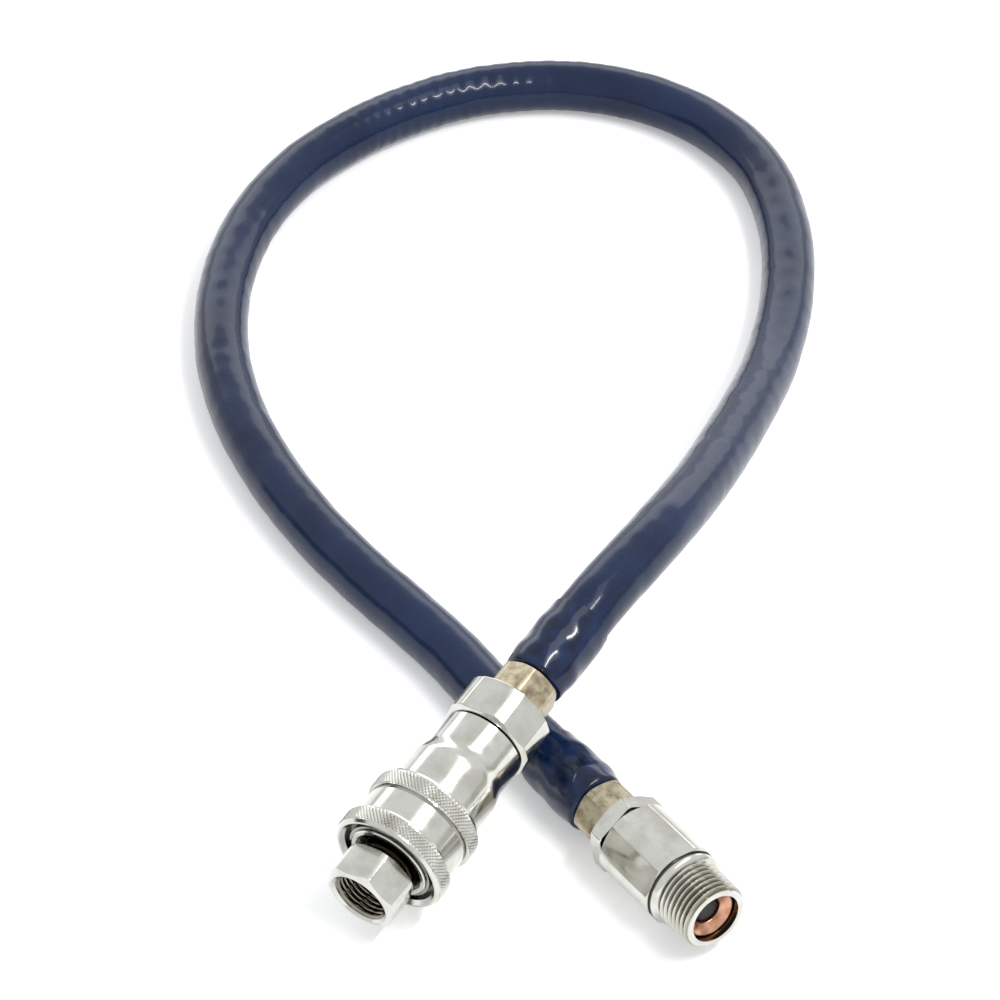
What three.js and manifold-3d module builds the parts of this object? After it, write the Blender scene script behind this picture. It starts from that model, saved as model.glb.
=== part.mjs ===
// Water connector hose: a coated hose with a quick-disconnect coupler on one end and a check valve with
// a male pipe thread on the other. It lies in one loop on the surface z = 0, with its two ends crossing.
// Millimetres, +Z up. Each end fitting is built along its own axis (+Z of its group), counted from the
// front face of its cuff, and its group then lays it down where it rests.
import * as THREE from 'three';
import { mergeVertices } from 'three/addons/utils/BufferGeometryUtils.js';
import Module from 'manifold-3d';

const wasm = await Module();
wasm.setup();

// Fits
const gap = 0.3; // clearance between neighbouring pieces
const reach = 1; // how far a cutter runs past the face that it opens
const roundSides = 24; // facets of a turned surface
const smallSides = 14; // facets of a small or hidden one
const wireSides = 5;
const wireSteps = 12; // for each turn of a spring

// Hose
const hoseDiameter = 18;
const hoseSides = 12;
const hoseSteps = 60;
const braidDiameter = 13.6; // the hose with its coat stripped, under the ferrule
const coatIntoCuff = 4;

// Cuff and crimped ferrule
const cuffLength = 26;
const cuffWall = 1.15;
const cuffFrontWall = 1.6;
const cuffRounding = 1.1;
const roundedCorner = 0.3; // how far a rounded edge's middle point lies in from the corner
const cuffRearRounding = 0.8;
const ferruleWall = 1.8;
const ferruleLip = 1.7;
const ferruleFlats = 8;

// Crimp end piece (stub)
const stubNeckRadius = 7.2;
const stubGrooveRadius = 5;
const tailRadius = 3.9;
const barbHeight = 0.4;
const barbCount = 3;
const barbPitch = 5.6;
const barbSlope = 0.8; // share of the pitch that rises
const stubBore = 2.8;
const shankRadius = 6.4;
const shankLength = 10;
const stubHexFlats = 17.5;
const stubHexCorners = 19.25;
const hexChamfer = 0.9;

// Coupler: adapter behind it
const couplerStubHex = 10.5; // length
const couplerStubTurn = 16;
const adapterFlats = 27;
const adapterCorners = 28.7; // the hexagon's corners are turned down to this
const adapterHexLength = 14.1;
const adapterRearChamfer = 1.7;
const adapterTurn = 8;
const adapterBore = 4.75;
const spigotRadius = 10;
const spigotLength = 9.1;

// Coupler: socket body
const barrelRadius = 12.8;
const barrelLength = 11;
const coneLength = 4;
const flangeStep = 1.7; // the flange over the nose
const flangeLength = 15.5;
const noseRadius = 12.5;
const noseLip = 0.6;
const chamberRoom = 1.5; // round the valve's head
const seatLength = 2.5;
const throatRadius = 5;
const throatLength = 1.1;
const chamberLength = 11.7;
const noseWall = 2.9;
const noseChamfer = 0.4;
const mouthChamfer = 1.6;
const packingSection = 0.8; // section radius of the seal ring
const packingSetback = 7.3; // from the socket's floor to the seal groove

// Coupler: sleeve, balls, spring, retaining ring
const sleeveTravel = 5;
const springWire = 1.1;
const springTurns = 3;
const springMargin = 1; // left over when the spring is pressed solid
const landLength = 5.9;
const ballRadius = 2;
const ballCount = 6;
const ballPlay = 0.4; // from the balls to the sleeve's land
const ballHolePlay = 0.4;
const ballHoleTaper = 0.2;
const ballHoleLength = 5;
const ballMargin = 0.1; // by which the drawn-back sleeve clears the balls
const ringWidth = 1.1;
const ringDepth = 0.5; // how deep the retaining ring sits in the nose
const ringStand = 1; // how far the ring stands out of the nose
const ringSplit = 3;
const sleeveWallClearance = 0.4;
const sleeveOverFlange = 2.7;
const sleeveProud = 0.5;
const sleeveWall = 1.55; // at the waist
const rearKnurlStand = 1.2; // over the waist
const rearKnurlLength = 6.2;
const frontKnurlStand = 1.75;
const frontKnurlLength = 5.2;
const grooveWidth = 0.7;
const grooveDepth = 0.45;
const knurlDepth = 0.45;
const knurlAround = 44;
const knurlRows = 3;
const sleeveEdge = 0.8;
const mouthLip = 1.6; // width of the sleeve's front face

// Plug
const plugGap = 3.1; // between the socket's nose and the plug's hexagon
const plugFlats = 20.8;
const plugCorners = 23.4;
const plugRearChamfer = 0.5;
const plugFrontChamfer = 0.8;
const plugTipChamfer = 0.8;
const plugTipTaper = 1.4;
const plugTipWall = 1.1; // under the ball groove
const grooveSteps = 6;
const plugHexLength = 11.3;
const plugTurn = 16.4; // degrees, how far the hexagon is turned from resting on a flat
const pipeBoreRadius = 7.6;
const pipeBoreDepth = 17.7;
const countersinkRadius = 9.2;
const countersinkDepth = 1.6;
const plugSeatLength = 2;
const plugThroatLength = 1.5;

// Shut-off valves and their guides
const valveHeadRoom = 1; // round the valve's head in the plug
const valveHeadLength = 2.4;
const valveNoseRadius = 3.6;
const valveRim = 0.4; // share of the head that is cylindrical at its back
const valveTip = 0.6; // the nose tapers from here, and to this share of its radius
const stemRadius = 1.6;
const guideThickness = 2.4;
const guideRim = 1.1;
const guideBoss = 3;
const guideArms = 3;
const guideArmWidth = 1.6;
const valveSpringWire = 0.8;
const valveSpringRadius = 4.2;
const valveSpringTurns = 4;
const valveOpening = 4; // how far each valve is held off its seat

// Male end: cap and check valve body
const maleStubHex = 9;
const maleStubTurn = 0;
const capFlats = 22;
const capCorners = 25.2;
const capTurn = 35.6;
const capChamfer = 0.3;
const capHexLength = 5.3;
const capNeckLength = 0.9; // the dark gap between the two hexagons
const capSpigotRadius = 9.2;
const capSpigotLength = 17.1;
const valveFlats = 23.8;
const valveCorners = 25.4;
const valveHexLength = 22.3;
const valveRearChamfer = 0.8;
const valveRearRise = 1.2;
const shoulderLength = 3.4;
const shoulderSteps = 4;
const pipeThreadLength = 16.1;
const pipeThreadEndRadius = 10.37; // crest radius at the free end
const pipeTaper = 1 / 32; // radius gained for each millimetre back from the end
const pipePitch = 1.814;
const pipeThreadDepth = 1.2;
const threadSides = 18;
const rowsPerPitch = 4;
const endChamfer = 1.1;
const checkChamberRadius = 6.6;
const seatRecessRadius = 7.7;
const seatRingDepth = 2.2; // from the end face to the ring's outer edge
const seatRingHole = 4.2;
const seatRingCone = 1.7;
const seatRingThickness = 3;
const checkHeadRadius = 5.9;
const checkHeadLength = 2.6;
const checkNoseLength = 1.5;
const checkSpringWire = 0.9;
const checkSpringTurns = 5;

// How the two fittings lie: point at the cuff's front face, compass heading of the axis, and its dip
const couplerSeat = [-0.72, 27.55, 33.42];
const couplerHeading = -123.81;
const couplerDip = 9.97;
const maleSeat = [18.57, -1.72, 12.02];
const maleHeading = -56.73;
const maleDip = -3.15;
const straightRun = 10; // how far the hose runs on straight behind its cuff

// The hose's route between its two straight ends, from the coupler round the loop to the male end: a long
// low hump over the crossing, then flat on the surface
const route = [
  [38.2, 89.7, 37.8], [52.8, 124, 29.7], [66.6, 164.2, 20.2], [79.1, 206.8, 11.5], [86.7, 245.7, 9.3],
  [87.9, 284.4, 9.15], [80.5, 321.4, 9], [63.3, 348.4, 9], [41.4, 364.6, 9], [17.5, 371.9, 9],
  [-7.2, 371.1, 9], [-25.9, 365.6, 9], [-44.1, 355.6, 9], [-60.8, 342.6, 9], [-80.3, 320.1, 9],
  [-94.9, 290.1, 9], [-102.5, 254.6, 9], [-102.2, 217.1, 9], [-94.9, 182.8, 9], [-82.8, 152.3, 9],
  [-68.4, 125.8, 9], [-52.8, 103, 9], [-36.6, 82.3, 9], [-24.1, 65.7, 9], [-5.5, 35, 9.6],
];

// Finishes
function finish(color, roughness, metalness) {
  return () => new THREE.MeshStandardMaterial({ color, roughness, metalness });
}
const coatedHose = finish('#222c4c', 0.42, 0);
const cuffVinyl = finish('#141c38', 0.22, 0);
const nickel = finish('#c6c5bd', 0.24, 1);
const tintedBrass = finish('#b49a6c', 0.32, 1);
const springSteel = finish('#9c9c98', 0.35, 1);
const polishedSteel = finish('#d0d0cc', 0.15, 1);
const copper = finish('#c8855f', 0.35, 1);
const blackRubber = finish('#1a1a1a', 0.6, 0);
const zinc = finish('#8e8f8d', 0.5, 1);

// A closed three.js mesh as a solid that can be cut and joined
function solidOf(geometry) {
  const bare = new THREE.BufferGeometry();
  bare.setAttribute('position', geometry.getAttribute('position').clone());
  bare.setIndex(geometry.getIndex());
  const merged = mergeVertices(bare, 1e-4);
  const corners = Array.from(merged.getIndex().array);
  const kept = [];
  for (let k = 0; k < corners.length; k += 3) {
    const [a, b, c] = corners.slice(k, k + 3);
    if (a !== b && b !== c && c !== a) kept.push(a, b, c);
  }
  const vertProperties = new Float32Array(merged.getAttribute('position').array);
  return new wasm.Manifold(new wasm.Mesh({ numProp: 3, vertProperties, triVerts: new Uint32Array(kept) }));
}

function geometryOf(solid) {
  const mesh = solid.getMesh();
  const geometry = new THREE.BufferGeometry();
  geometry.setAttribute('position', new THREE.BufferAttribute(new Float32Array(mesh.vertProperties), 3));
  geometry.setIndex(new THREE.BufferAttribute(new Uint32Array(mesh.triVerts), 1));
  geometry.computeVertexNormals();
  return geometry;
}

// A profile of [radius, station] points turned round the axis. It closes on itself, or starts and ends
// on the axis. relief(point, side) gives what is added to a point's radius, for knurls and threads.
function turned(profile, sides = roundSides, relief = null) {
  const points = profile.map(([r, a]) => new THREE.Vector2(r, a));
  const onAxis = profile[0][0] === 0 && profile.at(-1)[0] === 0;
  if (!onAxis) points.push(points[0].clone());
  if (THREE.ShapeUtils.area(points) < 0) points.reverse();
  const geometry = new THREE.LatheGeometry(points, sides);
  if (relief) {
    const position = geometry.getAttribute('position');
    for (let k = 0; k < position.count; k += 1) {
      const point = points[k % points.length];
      const side = Math.floor(k / points.length);
      const grown = point.x === 0 ? 1 : (point.x + relief(point, side)) / point.x;
      position.setX(k, position.getX(k) * grown);
      position.setZ(k, position.getZ(k) * grown);
    }
  }
  geometry.rotateX(Math.PI / 2);
  return solidOf(geometry);
}

function bar(radius, from, to, sides = roundSides) {
  return turned([[0, from], [radius, from], [radius, to], [0, to]], sides);
}

function tube(inner, outer, from, to, sides = roundSides) {
  return turned([[inner, from], [outer, from], [outer, to], [inner, to]], sides);
}

// A regular prism along the axis, with a flat facing down when the fitting lies on the surface
function prism(flats, from, to, count = 6) {
  const shape = new THREE.Shape();
  const corner = flats / 2 / Math.cos(Math.PI / count);
  for (let k = 0; k < count; k += 1) {
    const angle = ((k + 0.5) * 2 * Math.PI) / count;
    const [x, y] = [corner * Math.cos(angle), corner * Math.sin(angle)];
    if (k) shape.lineTo(x, y);
    else shape.moveTo(x, y);
  }
  const geometry = new THREE.ExtrudeGeometry(shape, { depth: to - from, bevelEnabled: false });
  geometry.translate(0, 0, from);
  return solidOf(geometry);
}

// A hexagon cut from a turned blank, so its corners are rounded off and its ends are chamfered
function hexagon(flats, corners, from, to, chamferRear = hexChamfer, chamferFront = hexChamfer) {
  const radius = corners / 2;
  const slope = Math.tan(Math.PI / 3);
  const blank = turned([
    [0, from], [radius - chamferRear * slope, from], [radius, from + chamferRear],
    [radius, to - chamferFront], [radius - chamferFront * slope, to], [0, to],
  ]);
  return prism(flats, from, to).intersect(blank);
}

class Helix extends THREE.Curve {
  constructor(radius, from, to, turns) {
    super();
    Object.assign(this, { radius, from, to, turns });
  }

  getPoint(t, target = new THREE.Vector3()) {
    const angle = t * this.turns * 2 * Math.PI;
    const height = this.from + t * (this.to - this.from);
    return target.set(this.radius * Math.cos(angle), this.radius * Math.sin(angle), height);
  }
}

function roundSection(radius, sides) {
  const points = [];
  for (let k = 0; k < sides; k += 1) {
    const angle = (k * 2 * Math.PI) / sides;
    points.push(new THREE.Vector2(radius * Math.cos(angle), radius * Math.sin(angle)));
  }
  return new THREE.Shape(points);
}

function spring(radius, wire, from, to, turns) {
  const path = new Helix(radius, from + wire / 2, to - wire / 2, turns);
  const steps = Math.round(turns * wireSteps);
  const section = roundSection(wire / 2, wireSides);
  return solidOf(new THREE.ExtrudeGeometry(section, { steps, extrudePath: path, bevelEnabled: false }));
}

// A three-armed guide that carries a valve's stem on the axis
function stemGuide(outer, from) {
  const to = from + guideThickness;
  let spider = tube(outer - guideRim, outer, from, to, smallSides).add(bar(guideBoss, from, to, smallSides));
  for (let k = 0; k < guideArms; k += 1) {
    const arm = new THREE.BoxGeometry(outer - guideRim / 2, guideArmWidth, guideThickness);
    arm.translate((outer - guideRim / 2) / 2, 0, from + guideThickness / 2);
    arm.rotateZ((k * 2 * Math.PI) / guideArms);
    spider = spider.add(solidOf(arm));
  }
  return spider.subtract(bar(stemRadius + gap, from - reach, to + reach, smallSides));
}

// A poppet on its stem. face points along the axis (+1) or back (-1); head is the station of the face.
function poppet(headRadius, headLength, noseLength, head, stemEnd, face) {
  const profile = [
    [0, stemEnd], [stemRadius, stemEnd], [stemRadius, head - face * headLength],
    [headRadius, head - face * headLength], [headRadius, head - face * valveRim * headLength],
    [valveNoseRadius, head], [valveNoseRadius, head + face * noseLength * valveTip],
    [valveNoseRadius * valveTip, head + face * noseLength], [0, head + face * noseLength],
  ];
  return turned(profile, smallSides);
}

function piece(name, solid, material) {
  const mesh = new THREE.Mesh(geometryOf(solid), material());
  mesh.name = name;
  return mesh;
}

// Radii and stations that both cuffs share. Stations count from the cuff's front face.
const hoseRadius = hoseDiameter / 2;
const braidRadius = braidDiameter / 2;
const cuffBore = hoseRadius + gap;
const cuffRadius = cuffBore + cuffWall;
const coatEnd = coatIntoCuff - cuffLength;
const ferruleFront = -cuffFrontWall - gap;
const ferruleRear = coatEnd + gap;
const neckRear = ferruleFront - ferruleLip - gap;
const braidEnd = neckRear - gap;
const tailEnd = braidEnd - barbPitch * barbCount - gap;
const socketEnd = tailEnd - gap;

function cuff() {
  return turned([
    [cuffBore, -cuffLength], [cuffRadius - cuffRearRounding, -cuffLength],
    [cuffRadius, cuffRearRounding - cuffLength], [cuffRadius, -cuffRounding],
    [cuffRadius - roundedCorner * cuffRounding, -roundedCorner * cuffRounding],
    [cuffRadius - cuffRounding, 0],
    [stubNeckRadius + gap, 0], [stubNeckRadius + gap, -cuffFrontWall], [cuffBore, -cuffFrontWall],
  ]);
}

function ferrule() {
  const bore = braidRadius + gap;
  const shell = turned([
    [bore, ferruleRear], [cuffBore, ferruleRear], [cuffBore, ferruleFront],
    [stubGrooveRadius + gap, ferruleFront], [stubGrooveRadius + gap, ferruleFront - ferruleLip],
    [bore, ferruleFront - ferruleLip],
  ]);
  const crimped = 2 * (bore + ferruleWall) * Math.cos(Math.PI / ferruleFlats);
  return shell.intersect(prism(crimped, ferruleRear - reach, ferruleFront + reach, ferruleFlats));
}

// Barbed tail, groove for the ferrule's lip, neck, hexagon and threaded shank, with a bore right through
function stub(hexLength, turn) {
  const profile = [[0, tailEnd]];
  for (let k = 0; k < barbCount; k += 1) {
    const station = tailEnd + k * barbPitch;
    profile.push([tailRadius, station], [tailRadius + barbHeight, station + barbSlope * barbPitch]);
  }
  profile.push([tailRadius, neckRear], [stubGrooveRadius, neckRear], [stubGrooveRadius, ferruleFront + gap]);
  profile.push([stubNeckRadius, ferruleFront + gap], [stubNeckRadius, gap + reach], [0, gap + reach]);
  const hexEnd = gap + hexLength;
  return turned(profile, smallSides)
    .add(hexagon(stubHexFlats, stubHexCorners, gap, hexEnd).rotate([0, 0, turn]))
    .add(bar(shankRadius, hexEnd - reach, hexEnd + shankLength, smallSides))
    .subtract(bar(stubBore, tailEnd - reach, hexEnd + shankLength + reach, smallSides));
}

function hoseEnd(name, hexLength, turn) {
  return [
    piece(`cuff_${name}`, cuff(), cuffVinyl),
    piece(`ferrule_${name}`, ferrule(), zinc),
    piece(`stub_${name}`, stub(hexLength, turn), tintedBrass),
  ];
}

// Coupler stations
const adapterFrom = gap + couplerStubHex + gap;
const adapterTo = adapterFrom + adapterHexLength;
const spigotTo = adapterTo + spigotLength;
const bodyFrom = adapterTo + gap;
const barrelTo = bodyFrom + barrelLength;
const coneTo = barrelTo + coneLength;
const flangeTo = coneTo + flangeLength;
const socketGuideFrom = spigotTo + gap;
const chamberFrom = socketGuideFrom + guideThickness + gap;
const seatFrom = chamberFrom + chamberLength;
const seatTo = seatFrom + seatLength;
const throatTo = seatTo + throatLength;
const landFrom = flangeTo + sleeveTravel + (springTurns + 1) * springWire + springMargin;
const landTo = landFrom + landLength;
const ballStation = landTo - sleeveTravel + ballRadius + ballMargin;
const ringFrom = landTo + gap;
const ringTo = ringFrom + ringWidth;
const noseTo = ringTo + gap + noseLip;
const landRadius = noseRadius + gap;
const ballRing = landRadius - ballPlay - ballRadius; // radius of the circle through the balls' centres
const socketBore = noseRadius - noseWall;
const flangeRadius = noseRadius + flangeStep;
const ringRadius = noseRadius + ringStand;
const springChamber = flangeRadius + sleeveWallClearance;
const waistRadius = springChamber + sleeveWall;
const rearKnurlRadius = waistRadius + rearKnurlStand;
const frontKnurlRadius = waistRadius + frontKnurlStand;
const mouthRadius = frontKnurlRadius - 1.6 * sleeveEdge - mouthLip;
const plugChamberRadius = ballRing - ballRadius - gap - plugTipWall;
const valveHeadRadius = plugChamberRadius - valveHeadRoom;
const chamberRadius = valveHeadRadius + chamberRoom;
const packingStation = throatTo + packingSetback + packingSection + gap;
const packingRadius = socketBore + packingSection;
const packingFloor = packingRadius + packingSection + gap;
const sleeveFrom = flangeTo - sleeveOverFlange;
const sleeveTo = noseTo + sleeveProud;

function adapter() {
  const shankTo = gap + couplerStubHex + shankLength + gap;
  return hexagon(adapterFlats, adapterCorners, adapterFrom, adapterTo, adapterRearChamfer)
    .rotate([0, 0, adapterTurn])
    .add(bar(spigotRadius, adapterTo - reach, spigotTo))
    .subtract(bar(shankRadius + gap, adapterFrom - reach, shankTo, smallSides))
    .subtract(bar(adapterBore, adapterFrom - reach, spigotTo + reach, smallSides));
}

function socketBody() {
  const shell = turned([
    [spigotRadius + gap, bodyFrom], [barrelRadius, bodyFrom], [barrelRadius, barrelTo],
    [flangeRadius, coneTo], [flangeRadius, flangeTo], [noseRadius, flangeTo],
    [noseRadius, ringFrom - gap], [noseRadius - ringDepth - gap, ringFrom - gap],
    [noseRadius - ringDepth - gap, ringTo + gap], [noseRadius, ringTo + gap],
    [noseRadius, noseTo - noseChamfer], [noseRadius - noseChamfer, noseTo],
    [socketBore + mouthChamfer, noseTo], [socketBore, noseTo - mouthChamfer],
    [socketBore, packingStation + packingSection + gap],
    [packingFloor, packingStation + packingSection + gap],
    [packingFloor, packingStation - packingSection - gap],
    [socketBore, packingStation - packingSection - gap], [socketBore, throatTo],
    [throatRadius, throatTo], [throatRadius, seatTo], [chamberRadius, seatFrom],
    [chamberRadius, chamberFrom], [spigotRadius + gap, chamberFrom],
  ]);
  return balls().reduce((left, [x, y]) => {
    const outer = ballRadius + ballHolePlay;
    const hole = new THREE.CylinderGeometry(outer, outer - ballHoleTaper, ballHoleLength, smallSides);
    hole.rotateZ(-Math.PI / 2);
    hole.translate((socketBore + noseRadius) / 2, 0, 0);
    hole.rotateZ(Math.atan2(y, x));
    hole.translate(0, 0, ballStation);
    return left.subtract(solidOf(hole));
  }, shell);
}

function balls() {
  const places = [];
  for (let k = 0; k < ballCount; k += 1) {
    const angle = ((k + 0.5) * 2 * Math.PI) / ballCount;
    places.push([ballRing * Math.cos(angle), ballRing * Math.sin(angle)]);
  }
  return places;
}

// A band of the profile with rows for the knurl, from one station to the other
function knurlBand(radius, from, to) {
  const band = [];
  for (let row = 0; row <= knurlRows; row += 1) {
    band.push([radius, from + ((to - from) * row) / knurlRows]);
  }
  return band;
}

function lockingSleeve() {
  const rearTo = sleeveFrom + rearKnurlLength;
  const frontTo = sleeveTo - sleeveEdge;
  const frontFrom = frontTo - frontKnurlLength;
  const bands = [[rearKnurlRadius, sleeveFrom + sleeveEdge, rearTo], [frontKnurlRadius, frontFrom, frontTo]];
  const profile = [
    [springChamber, sleeveFrom], [rearKnurlRadius - sleeveEdge, sleeveFrom],
    ...knurlBand(...bands[0]),
    [waistRadius - grooveDepth, rearTo], [waistRadius - grooveDepth, rearTo + grooveWidth],
    [waistRadius, rearTo + grooveWidth],
    [waistRadius, frontFrom - sleeveEdge],
    ...knurlBand(...bands[1]),
    [mouthRadius + mouthLip, sleeveTo], [mouthRadius, sleeveTo], [mouthRadius, landTo],
    [landRadius, landTo], [landRadius, landFrom], [springChamber, landFrom],
  ];
  const knurled = (point, side) => {
    const band = bands.find(([r, from, to]) => point.x === r && point.y >= from && point.y <= to);
    if (!band) return 0;
    const row = Math.round(((point.y - band[1]) / (band[2] - band[1])) * knurlRows);
    return (row + side) % 2 ? -knurlDepth : 0;
  };
  return turned(profile, knurlAround, knurled);
}

function retainingRing() {
  const inner = noseRadius - ringDepth;
  const split = new THREE.BoxGeometry(ringSplit, 2 * ringRadius, 3 * ringWidth);
  split.translate(0, -ringRadius, ringFrom);
  return tube(inner, ringRadius, ringFrom, ringTo).subtract(solidOf(split));
}

function packing() {
  const ring = new THREE.TorusGeometry(packingRadius, packingSection, 6, roundSides);
  ring.translate(0, 0, packingStation);
  return solidOf(ring);
}

// Plug stations
const plugFrom = throatTo + 2 * gap;
const tipRadius = socketBore - gap;
const plugHexFrom = noseTo + plugGap;
const plugTo = plugHexFrom + plugHexLength;
const pipeBoreFrom = plugTo - pipeBoreDepth;
const plugSeatFrom = plugFrom + plugThroatLength;
const plugSeatTo = plugSeatFrom + plugSeatLength;
const plugGuideFrom = pipeBoreFrom + gap;

function plugBody() {
  const groove = [];
  const grooveHalf = Math.sqrt((ballRadius + gap) ** 2 - (tipRadius - ballRing) ** 2);
  for (let k = 0; k <= grooveSteps; k += 1) {
    const station = grooveHalf * ((2 * k) / grooveSteps - 1);
    const depth = Math.sqrt((ballRadius + gap) ** 2 - station ** 2);
    groove.push([Math.min(tipRadius, ballRing - depth), ballStation + station]);
  }
  const tip = turned([
    [0, plugFrom], [tipRadius - plugTipChamfer, plugFrom], [tipRadius, plugFrom + plugTipTaper], ...groove,
    [tipRadius, plugHexFrom + reach], [0, plugHexFrom + reach],
  ]);
  const nut = hexagon(plugFlats, plugCorners, plugHexFrom, plugTo, plugRearChamfer, plugFrontChamfer);
  const bore = turned([
    [0, plugFrom - reach], [throatRadius, plugFrom - reach], [throatRadius, plugSeatFrom],
    [plugChamberRadius, plugSeatTo], [plugChamberRadius, pipeBoreFrom], [pipeBoreRadius, pipeBoreFrom],
    [pipeBoreRadius, plugTo - countersinkDepth], [countersinkRadius, plugTo],
    [countersinkRadius, plugTo + reach], [0, plugTo + reach],
  ]);
  return tip.add(nut.rotate([0, 0, plugTurn])).subtract(bore);
}

function couplerEnd() {
  const noses = (throatTo + plugFrom) / 2; // where the two valves meet nose to nose
  const socketHead = seatFrom - valveOpening + valveHeadLength / 2;
  const plugHead = plugSeatTo + valveOpening - valveHeadLength / 2;
  const socketSpringFrom = chamberFrom + gap;
  const still = new THREE.Group();
  still.add(
    ...hoseEnd('a', couplerStubHex, couplerStubTurn),
    piece('coupler_adapter', adapter(), nickel),
    piece('coupler_body', socketBody(), nickel),
    piece('retaining_ring', retainingRing(), springSteel),
    piece('packing_ring', packing(), blackRubber),
    piece('socket_valve', poppet(valveHeadRadius, valveHeadLength, noses - gap / 2 - socketHead,
      socketHead, socketGuideFrom, 1), tintedBrass),
    piece('socket_valve_spring', spring(valveSpringRadius, valveSpringWire, socketSpringFrom - gap,
      socketHead - valveHeadLength - gap, valveSpringTurns), springSteel),
    piece('socket_valve_guide', stemGuide(spigotRadius, socketGuideFrom), zinc),
  );
  balls().forEach(([x, y], k) => {
    const ball = solidOf(new THREE.SphereGeometry(ballRadius, 10, 6));
    const mesh = piece(`locking_ball_${k + 1}`, ball, polishedSteel);
    mesh.position.set(x, y, ballStation);
    still.add(mesh);
  });
  const sliding = new THREE.Group();
  const springFrom = flangeTo + gap;
  const springTo = landFrom - gap;
  const coilRadius = (noseRadius + springChamber) / 2;
  sliding.add(
    piece('locking_sleeve', lockingSleeve(), nickel),
    piece('sleeve_spring', spring(coilRadius, springWire, springFrom, springTo, springTurns), springSteel),
  );
  const plug = new THREE.Group();
  plug.add(
    piece('plug_body', plugBody(), nickel),
    piece('plug_valve', poppet(valveHeadRadius, valveHeadLength, plugHead - noses - gap / 2,
      plugHead, plugGuideFrom + guideThickness, -1), tintedBrass),
    piece('plug_valve_spring', spring(valveSpringRadius, valveSpringWire,
      plugHead + valveHeadLength + gap, pipeBoreFrom, valveSpringTurns), springSteel),
    piece('plug_valve_guide', stemGuide(pipeBoreRadius - gap, plugGuideFrom), zinc),
  );
  const end = new THREE.Group();
  end.add(still, sliding, plug);
  return end;
}

// Male end stations
const capFrom = gap + maleStubHex + gap;
const capTo = capFrom + capHexLength;
const capSpigotTo = capTo + capSpigotLength;
const valveFrom = capTo + capNeckLength;
const valveHexTo = valveFrom + valveHexLength;
const threadFrom = valveHexTo + shoulderLength;
const threadTo = threadFrom + pipeThreadLength;
const checkGuideFrom = capSpigotTo + gap;
const checkChamberFrom = checkGuideFrom + guideThickness + gap;
const seatRingFront = threadTo - seatRingDepth;
const seatRingRear = seatRingFront - seatRingThickness;

function valveCap() {
  const shankTo = gap + maleStubHex + shankLength + gap;
  return hexagon(capFlats, capCorners, capFrom, capTo, capChamfer, capChamfer)
    .rotate([0, 0, capTurn])
    .add(bar(capSpigotRadius, capTo - reach, capSpigotTo))
    .subtract(bar(shankRadius + gap, capFrom - reach, shankTo, smallSides))
    .subtract(bar(adapterBore, capFrom - reach, capSpigotTo + reach, smallSides));
}

// The tapered pipe thread: a turned blank whose radius follows a helical ridge
function pipeThread() {
  const profile = [[0, threadFrom - reach]];
  const rows = Math.round((pipeThreadLength / pipePitch) * rowsPerPitch);
  for (let row = 0; row <= rows; row += 1) {
    const station = threadFrom + (pipeThreadLength * row) / rows;
    const crest = pipeThreadEndRadius + (threadTo - station) * pipeTaper;
    const chamfer = Math.max(0, station - (threadTo - endChamfer));
    profile.push([crest - chamfer, station]);
  }
  profile.splice(1, 0, [profile[1][0] - pipeThreadDepth, threadFrom - reach]);
  profile.push([0, threadTo]);
  const ridge = (point, side) => {
    if (point.y < threadFrom || point.y > threadTo - endChamfer) return 0;
    const turn = point.y / pipePitch - side / threadSides;
    return -pipeThreadDepth * Math.abs(2 * (turn - Math.round(turn)));
  };
  return turned(profile, threadSides, ridge);
}

function shoulder() {
  const base = valveCorners / 2;
  const root = pipeThreadEndRadius + pipeThreadLength * pipeTaper - pipeThreadDepth;
  const profile = [[0, valveHexTo - reach], [base, valveHexTo - reach]];
  for (let k = 0; k <= shoulderSteps; k += 1) {
    const angle = (k / shoulderSteps) * (Math.PI / 2);
    profile.push([root + (base - root) * Math.cos(angle), valveHexTo + shoulderLength * Math.sin(angle)]);
  }
  profile.push([0, threadFrom]);
  return turned(profile);
}

function valveBody() {
  const bore = turned([
    [0, valveFrom - reach], [capSpigotRadius + gap, valveFrom - reach],
    [capSpigotRadius + gap, checkChamberFrom], [checkChamberRadius, checkChamberFrom],
    [checkChamberRadius, seatRingRear - gap], [seatRecessRadius, seatRingRear - gap],
    [seatRecessRadius, threadTo + reach], [0, threadTo + reach],
  ]);
  const blank = prism(valveFlats, valveFrom, threadFrom + reach).intersect(
    turned([
      [0, valveFrom], [valveCorners / 2 - valveRearRise, valveFrom],
      [valveCorners / 2, valveFrom + valveRearChamfer], [valveCorners / 2, valveHexTo], [0, valveHexTo],
    ]),
  );
  return blank.add(shoulder()).add(pipeThread()).subtract(bore);
}

function seatRing() {
  const outer = seatRecessRadius - gap;
  return turned([
    [seatRingHole, seatRingRear], [outer, seatRingRear], [outer, seatRingFront],
    [seatRingHole, seatRingFront - seatRingCone],
  ]);
}

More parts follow.
